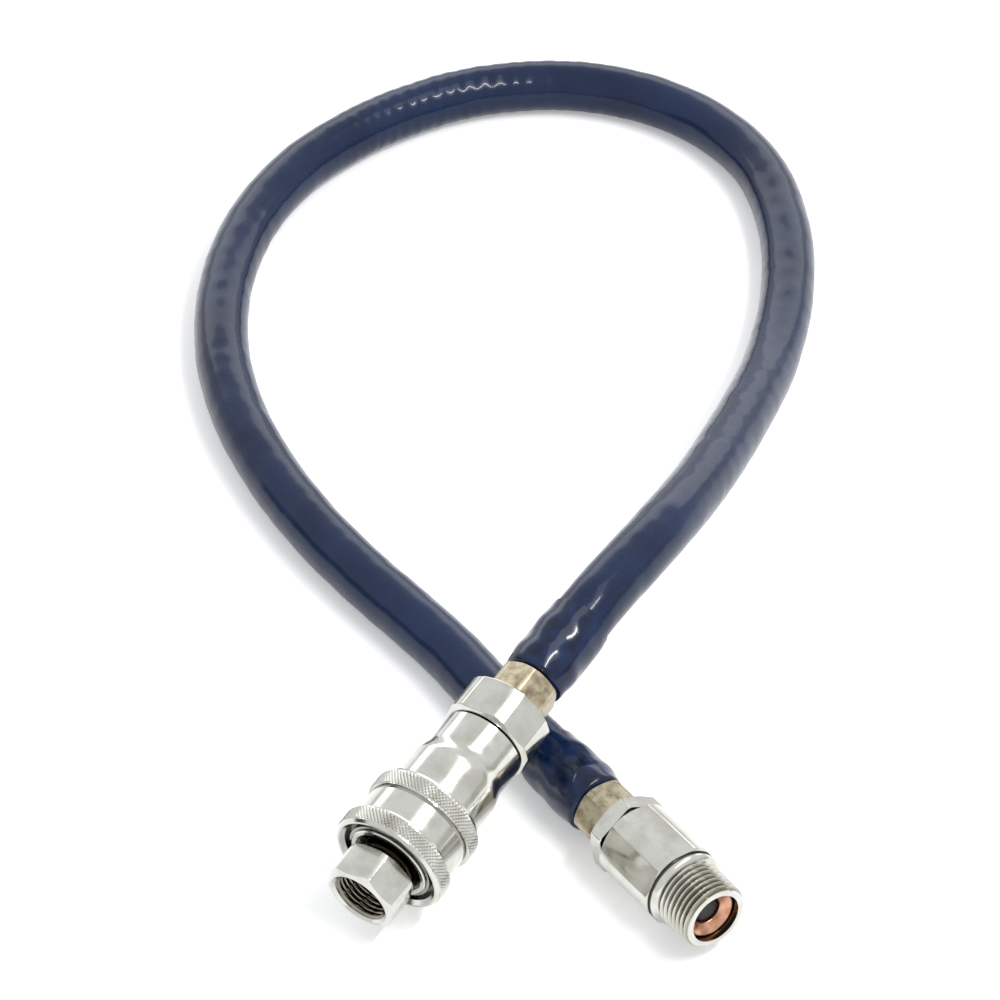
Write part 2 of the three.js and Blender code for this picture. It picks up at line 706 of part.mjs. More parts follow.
function maleEnd() {
  const head = seatRingRear - gap;
  const poppetRear = head - checkHeadLength;
  const still = new THREE.Group();
  still.add(
    ...hoseEnd('b', maleStubHex, maleStubTurn),
    piece('valve_cap', valveCap(), nickel),
    piece('valve_body', valveBody(), nickel),
    piece('seat_ring', seatRing(), copper),
    piece('check_guide', stemGuide(capSpigotRadius, checkGuideFrom), zinc),
  );
  const sliding = new THREE.Group();
  sliding.add(
    piece('check_poppet', poppet(checkHeadRadius, checkHeadLength, checkNoseLength, head,
      checkGuideFrom, 1), blackRubber),
    piece('check_spring', spring(valveSpringRadius, checkSpringWire, checkChamberFrom,
      poppetRear - gap, checkSpringTurns), springSteel),
  );
  const end = new THREE.Group();
  end.add(still, sliding);
  return end;
}

// Lays a fitting down: its axis points along the heading and dips below the horizontal
function laid(fitting, seat, heading, dip) {
  const tilted = new THREE.Group();
  tilted.rotation.y = Math.PI / 2 + THREE.MathUtils.degToRad(dip);
  tilted.add(fitting);
  const turnedRound = new THREE.Group();
  turnedRound.rotation.z = THREE.MathUtils.degToRad(heading);
  turnedRound.position.set(...seat);
  turnedRound.add(tilted);
  turnedRound.updateMatrixWorld(true);
  return turnedRound;
}

const coupler = laid(couplerEnd(), couplerSeat, couplerHeading, couplerDip);
const male = laid(maleEnd(), maleSeat, maleHeading, maleDip);

function straightEnd(fitting) {
  const axis = fitting.children[0].matrixWorld;
  return [coatEnd, -cuffLength, -cuffLength - straightRun].map((station) => (
    new THREE.Vector3(0, 0, station).applyMatrix4(axis)
  ));
}

// The hose's coated length follows the route. Its stripped ends, with sockets for the barbed tails, run
// on along the fittings' own axes.
function hoseTube() {
  const middle = route.map((point) => new THREE.Vector3(...point));
  const points = [...straightEnd(coupler), ...middle, ...straightEnd(male).reverse()];
  const path = new THREE.CatmullRomCurve3(points, false, 'centripetal');
  const section = roundSection(hoseRadius, hoseSides);
  const options = { steps: hoseSteps, extrudePath: path, bevelEnabled: false };
  let hose = solidOf(new THREE.ExtrudeGeometry(section, options));
  for (const fitting of [coupler, male]) {
    const axis = fitting.children[0].matrixWorld.toArray();
    const stripped = bar(braidRadius, coatEnd - reach, braidEnd, smallSides);
    const socket = bar(tailRadius + barbHeight + gap, socketEnd, braidEnd + reach, smallSides);
    hose = hose.add(stripped.transform(axis)).subtract(socket.transform(axis));
  }
  return hose;
}

const connectorHose = new THREE.Group();
connectorHose.add(coupler, male, piece('hose_tube', hoseTube(), coatedHose));

export default connectorHose;
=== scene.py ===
# Water connector hose, dressed for the render. Lengths and stations in the dictionaries are millimetres, as in
# the CAD; the studio's are metres.
import math

import bpy
from mathutils import Matrix, Vector, noise


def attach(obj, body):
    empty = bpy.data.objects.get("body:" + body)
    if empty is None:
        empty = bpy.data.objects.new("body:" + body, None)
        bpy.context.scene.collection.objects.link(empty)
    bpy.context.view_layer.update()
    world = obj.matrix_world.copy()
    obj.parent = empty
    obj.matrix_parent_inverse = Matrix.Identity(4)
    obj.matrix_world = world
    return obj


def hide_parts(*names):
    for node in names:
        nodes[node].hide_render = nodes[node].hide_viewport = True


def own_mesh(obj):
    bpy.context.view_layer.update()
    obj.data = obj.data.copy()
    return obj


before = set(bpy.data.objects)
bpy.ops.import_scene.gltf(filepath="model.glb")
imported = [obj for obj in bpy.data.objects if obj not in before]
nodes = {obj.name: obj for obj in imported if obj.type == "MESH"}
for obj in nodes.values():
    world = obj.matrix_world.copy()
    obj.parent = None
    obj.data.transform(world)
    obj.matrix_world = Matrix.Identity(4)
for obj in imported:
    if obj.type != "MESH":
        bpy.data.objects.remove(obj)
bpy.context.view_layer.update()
mm = 0.001

# camera, at the photograph's viewing angle
cameraSetup = {"place": (-10.0, -811.9, 806.9), "tilt": 50.0, "lens": 141.28}
camera = bpy.data.cameras.new("camera")
camera.lens = cameraSetup["lens"]
camera.sensor_width = 36
camera.clip_end = 20
cameraObject = bpy.data.objects.new("camera", camera)
bpy.context.scene.collection.objects.link(cameraObject)
cameraObject.location = Vector(cameraSetup["place"]) * mm
cameraObject.rotation_euler = (math.radians(cameraSetup["tilt"]), 0, 0)
bpy.context.scene.camera = cameraObject
bpy.context.scene.view_settings.view_transform = "Standard"

# each fitting is modelled upright on its own axis, counted from its cuff's front face, then laid down
couplerLie = {"seat": (-0.72, 27.55, 33.42), "heading": -123.81, "dip": 9.97}
maleLie = {"seat": (18.57, -1.72, 12.02), "heading": -56.73, "dip": -3.15}


def lieMatrix(lie):
    turn = Matrix.Rotation(math.radians(lie["heading"]), 4, "Z")
    tilt = Matrix.Rotation(math.radians(90 + lie["dip"]), 4, "Y")
    return Matrix.Translation(Vector(lie["seat"]) * mm) @ turn @ tilt


couplerMatrix = lieMatrix(couplerLie)
maleMatrix = lieMatrix(maleLie)
couplerAxis = couplerMatrix.to_3x3() @ Vector((0, 0, 1))
maleAxis = maleMatrix.to_3x3() @ Vector((0, 0, 1))


def onAxis(matrix, station):
    return matrix @ Vector((0, 0, station * mm))


# helpers for modelling
def clearSelection():
    if bpy.context.mode != "OBJECT":
        bpy.ops.object.mode_set(mode="OBJECT")
    bpy.ops.object.select_all(action="DESELECT")


def pick(piece):
    clearSelection()
    piece.select_set(True)
    bpy.context.view_layer.objects.active = piece


def smoothed(piece, angle=32):
    pick(piece)
    bpy.ops.object.shade_smooth_by_angle(angle=math.radians(angle))
    return piece


# a profile of (radius, station) points, spun round the axis; it closes on itself or on the axis
def turned(name, profile, steps=96):
    clearSelection()
    onTheAxis = profile[0][0] == 0 and profile[-1][0] == 0
    points = list(profile) + ([] if onTheAxis else [profile[0]])
    bpy.ops.mesh.primitive_plane_add(size=mm)
    piece = bpy.context.object
    piece.name = name
    bpy.ops.object.mode_set(mode="EDIT")
    bpy.ops.mesh.merge(type="CENTER")
    bpy.ops.transform.translate(value=(points[0][0] * mm, 0, points[0][1] * mm))
    for (r0, z0), (r1, z1) in zip(points, points[1:]):
        move = ((r1 - r0) * mm, 0, (z1 - z0) * mm)
        bpy.ops.mesh.extrude_region_move(TRANSFORM_OT_translate={"value": move})
    bpy.ops.mesh.select_all(action="SELECT")
    bpy.ops.mesh.spin(steps=steps, angle=2 * math.pi, center=(0, 0, 0), axis=(0, 0, 1))
    bpy.ops.mesh.select_all(action="SELECT")
    bpy.ops.mesh.remove_doubles(threshold=0.002 * mm)
    bpy.ops.mesh.normals_make_consistent(inside=False)
    bpy.ops.object.mode_set(mode="OBJECT")
    return smoothed(piece)


def rod(name, radius, start, end, steps=96):
    return turned(name, [(0, start), (radius, start), (radius, end), (0, end)], steps)


def carve(piece, tool, operation="DIFFERENCE"):
    modifier = piece.modifiers.new("carve", "BOOLEAN")
    modifier.operation = operation
    modifier.solver = "EXACT"
    modifier.object = tool
    pick(piece)
    bpy.ops.object.modifier_apply(modifier=modifier.name)
    bpy.data.objects.remove(tool)
    return piece


def softEdges(piece, width=0.2, segments=2, angle=14):
    modifier = piece.modifiers.new("softEdges", "BEVEL")
    modifier.width = width * mm
    modifier.segments = segments
    modifier.limit_method = "ANGLE"
    modifier.angle_limit = math.radians(angle)
    pick(piece)
    bpy.ops.object.modifier_apply(modifier=modifier.name)
    return smoothed(piece, 16)


chamferRun = 1.732  # a hexagon's end is chamfered at 30 degrees


# a hexagon cut from a turned blank: corners rounded off, ends chamfered
def hexagon(name, size, start, end):
    clearSelection()
    radius = size["flats"] / 2 / math.cos(math.pi / 6) * mm
    bpy.ops.mesh.primitive_cylinder_add(
        vertices=6, radius=radius, depth=(end - start) * mm,
        location=(0, 0, (start + end) / 2 * mm), rotation=(0, 0, math.radians(size["turn"])))
    piece = bpy.context.object
    piece.name = name
    bpy.ops.object.transform_apply(location=True, rotation=True, scale=True)
    corner = size["corners"] / 2
    rear, front = size["chamfers"]
    blank = turned("blank", [
        (0, start), (corner - rear * chamferRun, start), (corner, start + rear),
        (corner, end - front), (corner - front * chamferRun, end), (0, end)])
    return carve(piece, blank, "INTERSECT")


# a thread's flanks as steep as this, with its crest this much wider than a sharp one's
threadForm = {"steepness": 1.3, "crestFlat": 0.15}


# a rod with a tapered right-hand thread: a spun rod with close rows, whose points sink into the thread's groove
def threadedRod(name, thread, start, end, steps=96):
    pitch, crest = thread["pitch"], thread["crest"]
    rows = round((end - start) / pitch * thread["rowsPerPitch"])
    stations = [start + (end - start) * k / rows for k in range(rows + 1)]
    piece = turned(name, [(0, start), *[(crest, s) for s in stations], (0, end)], steps)
    for vertex in piece.data.vertices:
        x, y, z = vertex.co / mm
        if math.hypot(x, y) < crest / 2:
            continue
        turn = (z / pitch - math.atan2(y, x) / (2 * math.pi)) % 1
        sunk = min(1, max(0, abs(2 * turn - 1) * threadForm["steepness"] - threadForm["crestFlat"]))
        grown = 1 + ((end - z) * thread["taper"] - thread["depth"] * sunk) / crest
        vertex.co.x *= grown
        vertex.co.y *= grown
    return smoothed(piece, 28)


# moves a finished piece from its own axis to where the fitting lies, and gives it its body and finish
def place(piece, matrix, body, material, slot, *replaced):
    piece.data.transform(matrix)
    piece.data.materials.clear()
    piece.data.materials.append(material)
    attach(piece, body)
    if replaced:
        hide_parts(*replaced)
    return piece


# a soft surface that was drawn or dipped is never quite true: it swells and sinks a little
def madeUneven(piece, size, depth):
    normals = [vertex.normal.copy() for vertex in piece.data.vertices]
    for vertex, normal in zip(piece.data.vertices, normals):
        vertex.co += normal * noise.noise(vertex.co / (size * mm)) * depth * mm
    return piece


# colours and nodes: a hex colour as the linear values that a shader's sockets take
def linear(code):
    parts = [int(code[k:k + 2], 16) / 255 for k in (0, 2, 4)]
    return tuple(v / 12.92 if v <= 0.04045 else ((v + 0.055) / 1.055) ** 2.4 for v in parts) + (1.0,)


def addNode(tree, kind, settings=None, values=None, links=None):
    node = tree.nodes.new(kind)
    for key, value in (settings or {}).items():
        setattr(node, key, value)
    for key, value in (values or {}).items():
        node.inputs[key].default_value = value
    for key, source in (links or {}).items():
        tree.links.new(source, node.inputs[key])
    return node


def newMaterial(name, color, roughness, metallic=0.0, extra=None):
    material = bpy.data.materials.new(name)
    material.use_nodes = True
    shader = material.node_tree.nodes["Principled BSDF"]
    shader.inputs["Base Color"].default_value = linear(color)
    shader.inputs["Roughness"].default_value = roughness
    shader.inputs["Metallic"].default_value = metallic
    for key, value in (extra or {}).items():
        shader.inputs[key].default_value = value
    return material, material.node_tree, shader


def colorRamp(tree, source, stops):
    ramp = addNode(tree, "ShaderNodeValToRGB", links={"Fac": source})
    while len(ramp.color_ramp.elements) < len(stops):
        ramp.color_ramp.elements.new(0.5)
    for element, (position, code) in zip(ramp.color_ramp.elements, stops):
        element.position = position
        element.color = linear(code)
    return ramp.outputs["Color"]


def remap(tree, source, low, high, fromLow=0.0, fromHigh=1.0):
    values = {"From Min": fromLow, "From Max": fromHigh, "To Min": low, "To Max": high}
    return addNode(tree, "ShaderNodeMapRange", values=values, links={"Value": source}).outputs["Result"]


def noiseTexture(tree, vector, scale, detail, extra=None):
    values = {"Scale": scale, "Detail": detail, **(extra or {})}
    return addNode(tree, "ShaderNodeTexNoise", values=values, links={"Vector": vector}).outputs["Fac"]


def bumped(tree, height, strength, distance, normal=None):
    links = {"Height": height}
    if normal is not None:
        links["Normal"] = normal
    values = {"Strength": strength, "Distance": distance * mm}
    return addNode(tree, "ShaderNodeBump", values=values, links=links).outputs["Normal"]


socketNames = {"color": "Base Color", "roughness": "Roughness", "normal": "Normal"}


def connect(tree, shader, **sources):
    for name, source in sources.items():
        tree.links.new(source, shader.inputs[socketNames[name]])


# object coordinates turned into the fitting's own, so that turning marks run round its axis
def fittingCoordinates(tree, lie):
    coordinates = addNode(tree, "ShaderNodeTexCoord")
    mapping = addNode(tree, "ShaderNodeMapping", {"vector_type": "TEXTURE"},
                      links={"Vector": coordinates.outputs["Object"]})
    matrix = lieMatrix(lie)
    mapping.inputs["Location"].default_value = matrix.to_translation()
    mapping.inputs["Rotation"].default_value = matrix.to_euler()
    return mapping.outputs["Vector"]


bandFade = 0.1


# painted shade: darkens bands of a turned piece with a shade colour, inside a radius, which fades from low to high,
# between two stations
def paintedShadeBands(tree, color, own, bands):
    flat = addNode(tree, "ShaderNodeMapping", values={"Scale": (1, 1, 0)}, links={"Vector": own})
    length = addNode(tree, "ShaderNodeVectorMath", {"operation": "LENGTH"}, links={0: flat.outputs["Vector"]})
    radius = length.outputs["Value"]
    station = addNode(tree, "ShaderNodeSeparateXYZ", links={"Vector": own}).outputs["Z"]
    for (low, high), start, end, tint in bands:
        inside = remap(tree, radius, 1, 0, low * mm, high * mm)
        after = remap(tree, station, 0, 1, (start - bandFade) * mm, (start + bandFade) * mm)
        before = remap(tree, station, 1, 0, (end - bandFade) * mm, (end + bandFade) * mm)
        between = addNode(tree, "ShaderNodeMath", {"operation": "MULTIPLY"}, links={0: after, 1: before})
        mask = addNode(tree, "ShaderNodeMath", {"operation": "MULTIPLY"}, links={0: inside, 1: between.outputs[0]})
        color = addNode(tree, "ShaderNodeMixRGB", values={"Color2": linear(tint)},
                        links={"Fac": mask.outputs[0], "Color1": color}).outputs["Color"]
    return color


# bright nickel over turned brass: mirror-like but for faint turning marks, a warm grey reflection
def nickelPlate(name, lie, bands):
    material, tree, shader = newMaterial(name, "c4c4c0", 0.15, 1.0)
    own = fittingCoordinates(tree, lie)
    squeezed = addNode(tree, "ShaderNodeMapping", values={"Scale": (60, 60, 5200)}, links={"Vector": own})
    marks = noiseTexture(tree, squeezed.outputs["Vector"], 1.0, 3.0)
    blotch = noiseTexture(tree, own, 160.0, 4.0)
    plate = colorRamp(tree, blotch, [(0.3, "bab9b1"), (0.6, "cacac5")])
    # the bands are painted shade, darker where shade falls in the piece's recesses
    connect(tree, shader, color=paintedShadeBands(tree, plate, own, bands),
            roughness=remap(tree, blotch, 0.11, 0.2, 0.3, 0.7), normal=bumped(tree, marks, 0.12, 0.02))
    return material


# bare brass hexagons darkened and tinted tan by heat when the ferrule was crimped
def heatTintedBrass(name, lie):
    material, tree, shader = newMaterial(name, "a79e86", 0.32, 1.0)
    stain = noiseTexture(tree, fittingCoordinates(tree, lie), 240.0, 5.0, {"Roughness": 0.6})
    stops = [(0.3, "7d6c5c"), (0.45, "988e77"), (0.6, "b5ad96"), (0.75, "a08a7c")]
    connect(tree, shader, color=colorRamp(tree, stain, stops), roughness=remap(tree, stain, 0.22, 0.42, 0.3, 0.7))
    return material


# plasticised PVC drawn over a braid: semi-gloss, cloudy, with shallow ripples across it and a fine grain
def coatedHosePvc():
    material, tree, shader = newMaterial("coatedHosePvc", "122140", 0.26, 0.0, {
        "IOR": 1.53, "Specular IOR Level": 0.14, "Coat Weight": 0.2, "Coat Roughness": 0.06})
    uv = addNode(tree, "ShaderNodeUVMap")
    stretched = addNode(tree, "ShaderNodeMapping", values={"Scale": (125, 3, 1)}, links={"Vector": uv.outputs["UV"]})
    ripple = noiseTexture(tree, stretched.outputs["Vector"], 1.0, 1.0, {"Distortion": 0.3})
    coordinates = addNode(tree, "ShaderNodeTexCoord").outputs["Object"]
    grain = noiseTexture(tree, coordinates, 900.0, 3.0)
    cloud = noiseTexture(tree, coordinates, 35.0, 3.0)
    connect(tree, shader, color=colorRamp(tree, cloud, [(0.35, "101d38"), (0.65, "172746")]),
            roughness=remap(tree, grain, 0.2, 0.3, 0.3, 0.7),
            normal=bumped(tree, grain, 0.15, 0.05, bumped(tree, ripple, 0.25, 0.4)))
    return material


# moulded vinyl: darker and glossier than the hose, pulled a little uneven by the crimp under it
def cuffVinyl():
    material, tree, shader = newMaterial("cuffVinyl", "0d1a33", 0.16, 0.0, {
        "IOR": 1.54, "Specular IOR Level": 0.14, "Coat Weight": 0.3, "Coat Roughness": 0.04})
    pull = noiseTexture(tree, addNode(tree, "ShaderNodeTexCoord").outputs["Object"], 210.0, 1.0)
    connect(tree, shader, color=colorRamp(tree, pull, [(0.3, "0a162c"), (0.7, "14264a")]),
            normal=bumped(tree, pull, 0.5, 0.3))
    return material


# a plain finish with a little cloudiness in colour and roughness, for the small and hidden pieces
def workshopFinish(name, color, other, roughness, metallic):
    material, tree, shader = newMaterial(name, color, roughness, metallic)
    cloud = noiseTexture(tree, addNode(tree, "ShaderNodeTexCoord").outputs["Object"], 300.0, 4.0)
    connect(tree, shader, color=colorRamp(tree, cloud, [(0.35, color), (0.65, other)]),
            roughness=remap(tree, cloud, roughness * 0.8, roughness * 1.25, 0.3, 0.7))
    return material


# painted shade: the nickel is darkened where shade falls in the coupler's mouth, round the plug's neck, in its bore,
# in the male thread's roots, on the face in front of the valve hexagon and in the valve's bore
couplerNickel = nickelPlate("couplerNickel", couplerLie, [
    ((15.2, 15.4), 60, 73.9, "57544a"), ((10.8, 11.2), 73.9, 77.5, "3b382f"), ((8.6, 8.9), 77.5, 88.3, "7d796e")])
maleNickel = nickelPlate("maleNickel", maleLie, [
    ((9.4, 10.6), 44.4, 57.3, "706c58"), ((12.9, 13.1), 41.55, 42.7, "5c5b4e"), ((7.6, 7.8), 52, 57.3, "6f6a58")])
couplerBrass = heatTintedBrass("couplerStubBrass", couplerLie)
maleBrass = heatTintedBrass("maleStubBrass", maleLie)
hosePvc = coatedHosePvc()
vinyl = cuffVinyl()
copperRing = workshopFinish("copperRing", "a9775c", "cfa18a", 0.3, 1.0)
drawnWire = workshopFinish("drawnSpringWire", "8f8f8b", "a9a9a4", 0.3, 1.0)
ballSteel = workshopFinish("polishedBallSteel", "c9c9c9", "d8d8d8", 0.12, 1.0)
zincPlate = workshopFinish("zincPlate", "85868a", "9c9d9a", 0.45, 1.0)
nitrile = workshopFinish("nitrileRubber", "161616", "232323", 0.55, 0.0)
print("materials made")

# the hose: its route is the CAD's, straight out of each cuff, round the loop, with a long hump at the crossing
hose = {
    "radius": 9.0,
    "coatEnd": -22.0,
    "cuffRear": -26.0,
    "straightRun": 10.0,
    "route": [
        (38.2, 89.7, 37.8), (52.8, 124, 29.7), (66.6, 164.2, 20.2), (79.1, 206.8, 11.5), (86.7, 245.7, 9.3),
        (87.9, 284.4, 9.15), (80.5, 321.4, 9), (63.3, 348.4, 9), (41.4, 364.6, 9), (17.5, 371.9, 9),
        (-7.2, 371.1, 9), (-25.9, 365.6, 9), (-44.1, 355.6, 9), (-60.8, 342.6, 9), (-80.3, 320.1, 9),
        (-94.9, 290.1, 9), (-102.5, 254.6, 9), (-102.2, 217.1, 9), (-94.9, 182.8, 9), (-82.8, 152.3, 9),
        (-68.4, 125.8, 9), (-52.8, 103, 9), (-36.6, 82.3, 9), (-24.1, 65.7, 9), (-5.5, 35, 9.6),
    ],
    "steps": 24,
    "unevenSize": 6.5,
    "unevenDepth": 0.16,
    "bevelSteps": 14,
    "ripple": {"centre": (-8, 280), "radius": 91, "spacing": 5.8, "depth": 0.09, "from": -80, "to": 44,
               "behind": 300, "wander": 2.5, "wanderAlong": 11, "wanderUp": 9},
}


# a curve through the points, as the CAD draws it (centripetal)
def throughPoints(points, steps):
    first = points[0] * 2 - points[1]
    last = points[-1] * 2 - points[-2]
    padded = [first, *points, last]
    line = []
    for a, b, c, d in zip(padded, padded[1:], padded[2:], padded[3:]):
        k1 = (b - a).length ** 0.5
        k2 = k1 + (c - b).length ** 0.5
        k3 = k2 + (d - c).length ** 0.5
        for step in range(steps):
            t = k1 + (k2 - k1) * step / steps
            ab = a * ((k1 - t) / k1) + b * (t / k1)
            bc = b * ((k2 - t) / (k2 - k1)) + c * ((t - k1) / (k2 - k1))
            cd = c * ((k3 - t) / (k3 - k2)) + d * ((t - k2) / (k3 - k2))
            abc = ab * ((k2 - t) / k2) + bc * (t / k2)
            bcd = bc * ((k3 - t) / (k3 - k1)) + cd * ((t - k1) / (k3 - k1))
            line.append(abc * ((k2 - t) / (k2 - k1)) + bcd * ((t - k1) / (k2 - k1)))
    return line + [points[-1]]


# the coat is puckered across the crest of the tightest bend, most in the middle of that stretch
def rippled(piece):
    ripple = hose["ripple"]
    middle = (ripple["from"] + ripple["to"]) / 2
    reach = (ripple["to"] - ripple["from"]) / 2
    normals = [vertex.normal.copy() for vertex in piece.data.vertices]
    for vertex, normal in zip(piece.data.vertices, normals):
        x, y, z = vertex.co / mm
        if y > ripple["behind"] and abs(x - middle) < reach:
            along = math.atan2(y - ripple["centre"][1], x - ripple["centre"][0]) * ripple["radius"]
            spot = Vector((along / ripple["wanderAlong"], 0, z / ripple["wanderUp"]))
            wave = math.sin(2 * math.pi * (along + ripple["wander"] * noise.noise(spot)) / ripple["spacing"])
            fade = 1 - ((x - middle) / reach) ** 2
            vertex.co += normal * wave * fade * ripple["depth"] * mm
    return piece


def makeHose():
    stations = [hose["coatEnd"], hose["cuffRear"], hose["cuffRear"] - hose["straightRun"]]
    points = [onAxis(couplerMatrix, s) for s in stations]
    points += [Vector(p) * mm for p in hose["route"]]
    points += [onAxis(maleMatrix, s) for s in reversed(stations)]
    line = throughPoints(points, hose["steps"])
    curve = bpy.data.curves.new("hoseTube", "CURVE")
    curve.dimensions = "3D"
    spline = curve.splines.new("POLY")
    spline.points.add(len(line) - 1)
    for point, spot in zip(spline.points, line):
        point.co = (*spot, 1)
    curve.bevel_depth = hose["radius"] * mm
    curve.bevel_resolution = hose["bevelSteps"]
    curve.use_fill_caps = True
    piece = bpy.data.objects.new("hoseTube", curve)
    bpy.context.scene.collection.objects.link(piece)
    pick(piece)
    bpy.ops.object.convert(target="MESH")
    piece = madeUneven(bpy.context.object, hose["unevenSize"], hose["unevenDepth"])
    smoothed(rippled(piece), 40)
    piece.data.materials.clear()
    piece.data.materials.append(hosePvc)
    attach(piece, "hose")
    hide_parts("hose_tube")
    return piece, line


hosePiece, hoseLine = makeHose()

# cuffs and the crimp end pieces under them
cuffSize = {"length": 26.0, "bore": 9.15, "rear": 9.7, "belly": 10.15, "front": 9.45, "taperStart": -8.0,
            "taperRows": 5, "frontRounding": 1.6, "rearRounding": 0.3, "neck": 7.5, "frontWall": 1.6, "rows": 16,
            "unevenSize": 7.0, "unevenDepth": 0.55, "evenRear": 4}
stubSize = {"flats": 17.5, "corners": 19.25, "chamfers": (0.9, 0.9), "start": 0.3, "neck": 7.2, "neckStart": -1.6,
            "neckEnd": 1.3, "tail": 4, "tailStart": -20, "tailEnd": -3, "shank": 6.4, "shankLength": 10, "bore": 2.8}


def makeCuff(name, matrix, replaced):
    size = cuffSize
    front, rear, start = size["frontRounding"], size["rearRounding"], -size["length"]
    profile = [(size["bore"], start), (size["rear"] - rear, start), (size["rear"], start + rear)]
    for k in range(1, size["rows"]):
        station = start + rear + (size["taperStart"] - start - rear) * k / size["rows"]
        profile.append((size["rear"] + (size["belly"] - size["rear"]) * k / size["rows"], station))
    for k in range(size["taperRows"] + 1):
        share = k / size["taperRows"]
        drop = (1 - math.cos(math.pi * share)) / 2
        profile.append((size["belly"] - (size["belly"] - size["front"]) * drop,
                        size["taperStart"] * (1 - share) - front * share))
    profile += [(size["front"] - front + front * math.cos(a), front * math.sin(a) - front)
                for a in (0.4, 0.8, 1.2, 1.57)]
    profile += [(size["neck"], 0), (size["neck"], -size["frontWall"]), (size["bore"], -size["frontWall"])]
    piece = turned(name, profile, 96)
    for vertex in piece.data.vertices:
        x, y, z = vertex.co / mm
        if math.hypot(x, y) > size["bore"] + 0.1:
            spot = Vector((x, y, z)) / size["unevenSize"] + Vector((matrix[0][3], 0, 3))
            offset = noise.noise(spot) * size["unevenDepth"]
            scale = 1 + offset * min(1, (z + size["length"]) / size["evenRear"]) / size["belly"]
            vertex.co.x *= scale
            vertex.co.y *= scale
    smoothed(piece, 40)
    place(piece, matrix, "hose", vinyl, "cuff_vinyl", replaced)


def makeStub(name, matrix, material, hexLength, turn, replaced):
    size = dict(stubSize, turn=turn)
    end = size["start"] + hexLength
    piece = hexagon(name, size, size["start"], end)
    softEdges(piece, 0.25)
    neck = turned("neck", [
        (0, size["tailStart"]), (size["tail"], size["tailStart"]), (size["tail"], size["tailEnd"]),
        (size["neck"], size["neckStart"]), (size["neck"], size["neckEnd"]), (0, size["neckEnd"])], 64)
    carve(piece, neck, "UNION")
    carve(piece, rod("shank", size["shank"], end - 1, end + size["shankLength"], 64), "UNION")
    carve(piece, rod("bore", size["bore"], size["tailStart"] - 1, end + size["shankLength"] + 1, 32))
    smoothed(piece)
    place(piece, matrix, "hose", material, "tinted_brass", replaced)


makeCuff("cuffA", couplerMatrix, "cuff_a")
makeCuff("cuffB", maleMatrix, "cuff_b")
makeStub("stubA", couplerMatrix, couplerBrass, 10.5, 16, "stub_a")
makeStub("stubB", maleMatrix, maleBrass, 11.4, 0, "stub_b")
print("cuffs and stubs made")

# coupler: adapter hexagon and socket body
adapterSize = {"flats": 27.0, "corners": 28.7, "chamfers": (1.7, 0.9), "turn": 8, "start": 11.1, "end": 25.2,
               "spigot": 10.0, "spigotEnd": 34.3, "bore": 4.75, "shankHoleEnd": 21.1}
shankGap = 0.3


def makeAdapter():
    size = adapterSize
    piece = hexagon("couplerAdapter", size, size["start"], size["end"])
    softEdges(piece, 0.2, 2)
    carve(piece, rod("spigot", size["spigot"], size["end"] - 1, size["spigotEnd"]), "UNION")
    carve(piece, rod("shankHole", stubSize["shank"] + shankGap, size["start"] - 1, size["shankHoleEnd"], 64))
    carve(piece, rod("bore", size["bore"], size["start"], size["spigotEnd"] + 1, 48))
    smoothed(piece)
    place(piece, couplerMatrix, "hose", couplerNickel, "nickel", "coupler_adapter")


makeAdapter()

bodySize = {"start": 25.5, "rounding": 0.5, "barrel": 12.8, "barrelEnd": 35.6, "coneEnd": 41.8, "coneRows": 12,
            "flange": 14.2, "flangeEnd": 56.0, "nose": 12.5, "end": 74.6, "noseRounding": 0.3, "bore": 9.6,
            "mouth": 1.6, "spigotHole": 10.3, "spigotHoleEnd": 37.3, "ringGroove": (11.7, 72.3, 74.0),
            "sealGroove": (11.5, 59.6, 61.8), "valveChamber": 7.5, "valveChamberEnd": 49, "throat": 5,
            "throatStart": 51.5, "throatEnd": 52.6}


def makeSocketBody():
    size = bodySize
    middle, swell = (size["barrel"] + size["flange"]) / 2, (size["flange"] - size["barrel"]) / 2
    cone = []
    for k in range(size["coneRows"] + 1):
        share = k / size["coneRows"]
        cone.append((middle - swell * math.cos(share * math.pi),
                     size["barrelEnd"] + (size["coneEnd"] - size["barrelEnd"]) * share))
    ring, ringStart, ringEnd = size["ringGroove"]
    seal, sealStart, sealEnd = size["sealGroove"]
    piece = turned("couplerBody", [
        (size["spigotHole"], size["start"]), (size["barrel"] - size["rounding"], size["start"]),
        (size["barrel"], size["start"] + size["rounding"]), *cone,
        (size["flange"], size["flangeEnd"]), (size["nose"], size["flangeEnd"]),
        (size["nose"], ringStart), (ring, ringStart), (ring, ringEnd), (size["nose"], ringEnd),
        (size["nose"], size["end"] - size["noseRounding"]), (size["nose"] - size["noseRounding"], size["end"]),
        (size["bore"] + size["mouth"], size["end"]), (size["bore"], size["end"] - size["mouth"]),
        (size["bore"], sealEnd), (seal, sealEnd), (seal, sealStart), (size["bore"], sealStart),
        (size["bore"], size["throatEnd"]), (size["throat"], size["throatEnd"]), (size["throat"], size["throatStart"]),
        (size["valveChamber"], size["valveChamberEnd"]), (size["valveChamber"], size["spigotHoleEnd"]),
        (size["spigotHole"], size["spigotHoleEnd"])], 128)
    place(piece, couplerMatrix, "hose", couplerNickel, "nickel", "coupler_body")


makeSocketBody()

